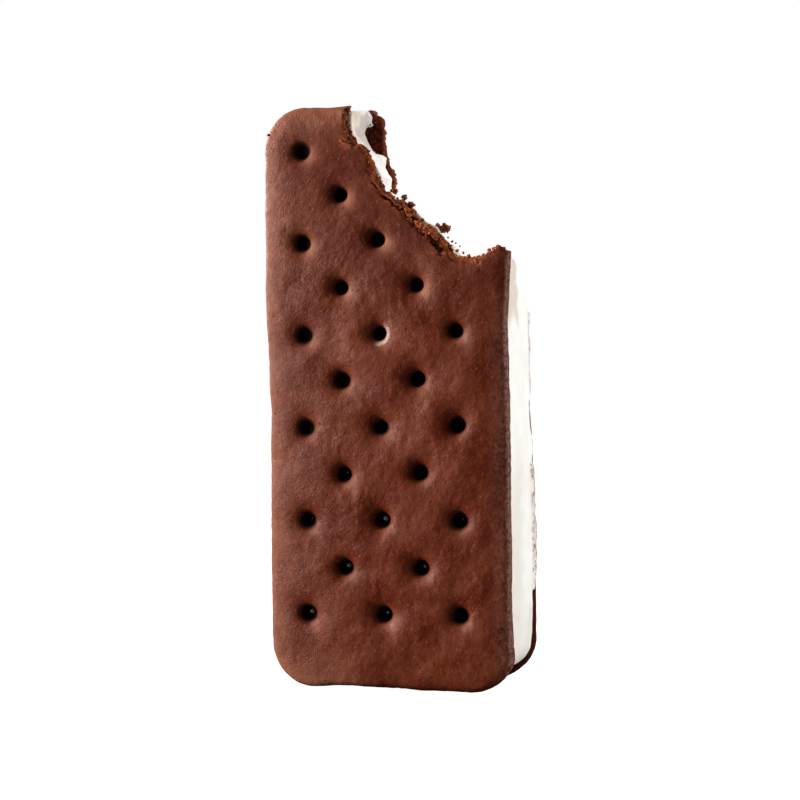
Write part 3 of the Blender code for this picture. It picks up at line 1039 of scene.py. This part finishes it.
def crust_colour(n, p):
    """Mottled, grainy and speckled brown, with painted shade in hollows and painted highlights on streaks,
    grain, rims and corners.
    """
    # Pale grain, partly painted glints
    pale_grain_and_glint = n.mix(n.span(n.noise(9, 2), 0.5, 0.62), PALE_GRAIN_AND_GLINT, RUDDY_GRAIN_AND_GLINT)
    light_dots = n.dots(1.3, 0.16, (0.03, 0.02, 0.01))
    # Crystals here means only a pale crescent painted at one hole's mouth
    crystals = n.times(n.mask("pale_crescent"), n.span(p.grain, 0.38, 0.62, 0.1, 0.75))
    # Partly crumb colour, partly painted highlight along the broken edges
    edge = n.times(n.mask("lip"), n.span(p.mottle, 0.35, 0.6, 0.1, 0.75))
    # Painted sheen along the right rim
    right_sheen = n.times(n.mask("painted_right_sheen"), n.span(n.noise(0.8, 4, 0.7), 0.38, 0.62, 0.05, 0.85))
    return n.painted(
        n.mix(n.span(n.noise(7, 2), 0.35, 0.65), CRUST_DARK, CRUST_LIGHT),
        (n.span(p.mottle, 0.38, 0.62, 0, 0.45), MOTTLE),
        # Painted highlights along slanted streaks
        (n.span(p.streaks, 0.48, 0.7, 0, 0.35), STREAK_HIGHLIGHT),
        (n.span(p.grain, 0.31, 0.49, 0.85, 0), GRAIN_DARK),
        (n.span(p.grain, 0.54, 0.68, 0, 0.75), pale_grain_and_glint),
        # Painted shade in the crust's hollows
        (n.span(p.hollow, 0.55, 0.95, 0, 0.6), CRUST_HOLLOW_SHADE),
        (n.mask("baked", 0.65), BAKED),
        (n.times(p.dots, 0.45), DARK_DOT),
        (n.times(light_dots, 0.22), LIGHT_DOT),
        # Painted highlight on the left rim and below the holes
        (n.mask("painted_highlight", 0.32), PAINTED_HIGHLIGHT),
        # Painted highlight on the left corners
        (n.mask("painted_lit_corners", 0.36), LIT_CORNER_PAINT),
        (crystals, PALE_CRESCENT),
        (edge, LIP_CRUMB_AND_HIGHLIGHT),
        (right_sheen, RIGHT_RIM_SHEEN),
        (n.times(p.pores, 0.8), PORE),
    )


def crumb_colour(n, p):
    """Orange-brown crumb, with painted shade in its hollows and deep inside, and painted highlights on its
    ridges.
    """
    return n.painted(
        n.mix(n.span(p.lumps, 0.35, 0.62), CRUMB_DARK, CRUMB_LIGHT),
        # Painted shade in the crumb's hollows, and painted highlights on its ridges
        (n.span(p.hollow, 0.5, 0.95, 0, 0.85), CRUMB_HOLLOW_SHADE),
        (n.span(p.hollow, 0.1, 0.42, 0.7, 0), CRUMB_RIDGE_HIGHLIGHT),
        # Painted shade deep inside the crumb
        (n.mask("deep", 0.55), CRUMB_DEPTH_SHADE),
    )


def inner_colour(n, p):
    """Dark brown of the face that was against the ice cream, with painted shade in its hollows."""
    inner = n.mix(n.span(p.lumps, 0.4, 0.6), INNER_DARK, INNER_LIGHT)
    return n.mix(n.span(p.hollow, 0.5, 0.9, 0, 0.8), inner, INNER_HOLLOW_SHADE)


def wafer_relief(n, p):
    """Relief that is too fine for the mesh."""
    folds = n.times(n.noise(1.5, 3, 0.6, p.slanted), n.mask("wrinkled"))
    crumbly = n.times(p.lumps, n.mask("broken"))
    pits = n.math("ADD", n.times(p.pores, -1), n.times(p.dots, -0.5))
    layers = (
        (p.grain, 0.2, 0.8), (p.streaks, 0.1, 0.5), (p.mottle, 0.16, 0.6),
        (folds, 0.34, 0.75), (crumbly, 0.35, 0.9), (pits, 0.06, 0.6),
    )
    normal = None
    for height, distance, strength in layers:
        normal = n.bump(height, distance, strength, normal)
    return normal


def wafer_material():
    """Crust with a faint sheen, and crumb where it is broken."""
    n = Nodes(bpy.data.materials.new("chocolate_wafer"))
    p = wafer_patterns(n)
    colour = n.painted(
        crust_colour(n, p),
        (n.mask("broken"), crumb_colour(n, p)),
        (n.mask("inner"), inner_colour(n, p)),
        # Painted shade that blackens the docking holes
        (n.mask("hole", 0.95), HOLE_PAINTED_SHADE),
    )
    matt = n.math("MAXIMUM", n.mask("hole"), n.mask("baked", 0.7))
    roughness = n.math("MULTIPLY_ADD", matt, 0.45, n.span(p.mottle, 0.3, 0.7, 0.4, 0.52))
    n.set(Base_Color=colour, Normal=wafer_relief(n, p), Roughness=roughness)
    n.set(Specular_IOR_Level=WAFER_SHINE, Specular_Tint=WAFER_SHINE_TINT)
    return n.owner


def ice_cream_material():
    """Creamy white, softly lit from within, with painted shade greying it where it is bitten."""
    n = Nodes(bpy.data.materials.new("vanilla_ice_cream"))
    patches = n.noise(3.5, 3)
    place = n.add("SeparateXYZ")
    n.link(n.place, place.inputs[0])
    uneven_y = n.math("ADD", place.outputs["Y"], n.span(patches, 0.3, 0.7, -2.5 * MM, 2.5 * MM))
    # Painted shade on the bitten ice cream, warmer near the front and lighter at the back
    bitten = n.mix(n.span(uneven_y, -8 * MM, -2 * MM, 1, 0), BITE_SHADE_MIDDLE, BITE_SHADE_FRONT)
    bitten = n.mix(n.span(uneven_y, 1 * MM, 5 * MM), bitten, BITE_SHADE_BACK)
    wash = n.span(n.noise(2.6, 4, 0.6), 0.3, 0.65, 0.2, 0.9)
    specks = n.span(n.noise(0.9, 4, 0.7), 0.51, 0.64)
    colour = n.painted(
        n.mix(n.span(patches, 0.35, 0.65), VANILLA_WARM, VANILLA_WHITE),
        # Darker cream, partly painted shade
        (n.mask("cream", 0.9), CREAM_AND_SHADE),
        (n.mask("bitten"), bitten),
        # Painted shade on the ice cream inside the holes
        (n.mask("nub"), NUB_SHADE),
        (n.times(n.mask("smear"), wash), STAIN),
        (n.times(n.mask("smear"), specks), SPECK),
    )
    crystals = n.noise(0.35, 3, 0.6)
    relief = n.bump(n.noise(1.4, 3), 0.25, 0.5, n.bump(crystals, 0.05, 0.5))
    n.set(Base_Color=colour, Normal=relief, Roughness=n.span(crystals, 0.3, 0.7, 0.35, 0.55))
    n.set(Subsurface_Weight=0.4, Subsurface_Radius=(1, 0.95, 0.9), Subsurface_Scale=0.6 * MM)
    return n.owner


def floor_material():
    """Matt white floor that glows for the camera alone, so that it looks plain white."""
    n = Nodes(bpy.data.materials.new("pale_floor"))
    path = n.add("LightPath")
    n.set(Base_Color=(0.9, 0.9, 0.9), Roughness=0.9)
    n.set(Emission_Color=(1, 1, 1), Emission_Strength=path.outputs["Is Camera Ray"])
    return n.owner


# ------------ stage, light and camera


def add_stage():
    bpy.ops.mesh.primitive_plane_add(size=FLOOR_SIZE, location=(0, 0, FLOOR_HEIGHT))
    floor = bpy.context.object
    floor.name = "floor"
    floor.data.materials.append(floor_material())
    floor.visible_glossy = False


def add_softbox(softbox):
    """A square soft light, unseen by the camera."""
    light = bpy.data.lights.new(softbox.name, "AREA")
    light.size = softbox.size
    light.energy = softbox.power
    obj = bpy.data.objects.new(softbox.name, light)
    obj.visible_camera = False
    obj.location = softbox.place
    to_light = Vector(softbox.place) - Vector(softbox.aim)
    obj.rotation_euler = to_light.to_track_quat("Z", "Y").to_euler()
    bpy.context.scene.collection.objects.link(obj)
    return obj


def light_only(light, pieces):
    """Makes a light reach only these pieces."""
    group = bpy.data.collections.new(light.name)
    for piece in pieces:
        group.objects.link(piece)
    light.light_linking.receiver_collection = group


def add_world():
    """A dim white room all round, which the camera sees as plain white."""
    n = Nodes(bpy.data.worlds.new("studio"), "Background")
    n.set(Color=(1, 1, 1), Strength=ROOM_LIGHT)
    seen = n.add("Background", {"Color": (1, 1, 1)})
    path = n.add("LightPath")
    parts = (path.outputs["Is Camera Ray"], n.shader.outputs[0], seen.outputs[0])
    choose = n.add("MixShader", enumerate(parts))
    n.link(choose.outputs[0], n.tree.nodes["World Output"].inputs["Surface"])
    bpy.context.scene.world = n.owner
    n.owner.cycles_visibility.glossy = False


def add_lights(pieces):
    """The white ice cream has a weaker key light of its own."""
    for softbox in SOFTBOXES:
        light = add_softbox(softbox)
        if softbox.only:
            light_only(light, pieces[softbox.only])


def add_camera():
    """The camera stands low in front, to the right, leaning slightly."""
    turn = Matrix()
    for angle, axis in zip(CAMERA_TURN, "ZXZ"):
        turn = turn @ Matrix.Rotation(radians(angle), 4, axis)
    data = bpy.data.cameras.new("camera")
    data.lens = CAMERA_LENS
    data.clip_start = 0.01
    camera = bpy.data.objects.new("camera", data)
    camera.matrix_world = Matrix.Translation(CAMERA_PLACE) @ turn
    bpy.context.scene.collection.objects.link(camera)
    bpy.context.scene.camera = camera


# ------------ assembly


def place_piece(obj, node, material):
    """Gives a piece its material and slot. It replaces the CAD node, if there is one."""
    obj.data.materials.clear()
    obj.data.materials.append(material)
    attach(obj, "root")
    if node:
        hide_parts(node)


def build():
    bpy.context.scene.view_settings.view_transform = "Standard"
    add_camera()
    add_stage()
    chocolate = wafer_material()
    vanilla = ice_cream_material()
    front = front_wafer()
    back = back_wafer()
    ice_cream = filling()
    place_piece(front, "wafer_front", chocolate)
    place_piece(back, "wafer_back", chocolate)
    place_piece(ice_cream, "ice_cream", vanilla)
    scattered = crumbs(front, back, ice_cream)
    place_piece(scattered, None, chocolate)
    add_world()
    add_lights({"wafers": (front, back, scattered), "ice_cream": (ice_cream,)})


build()
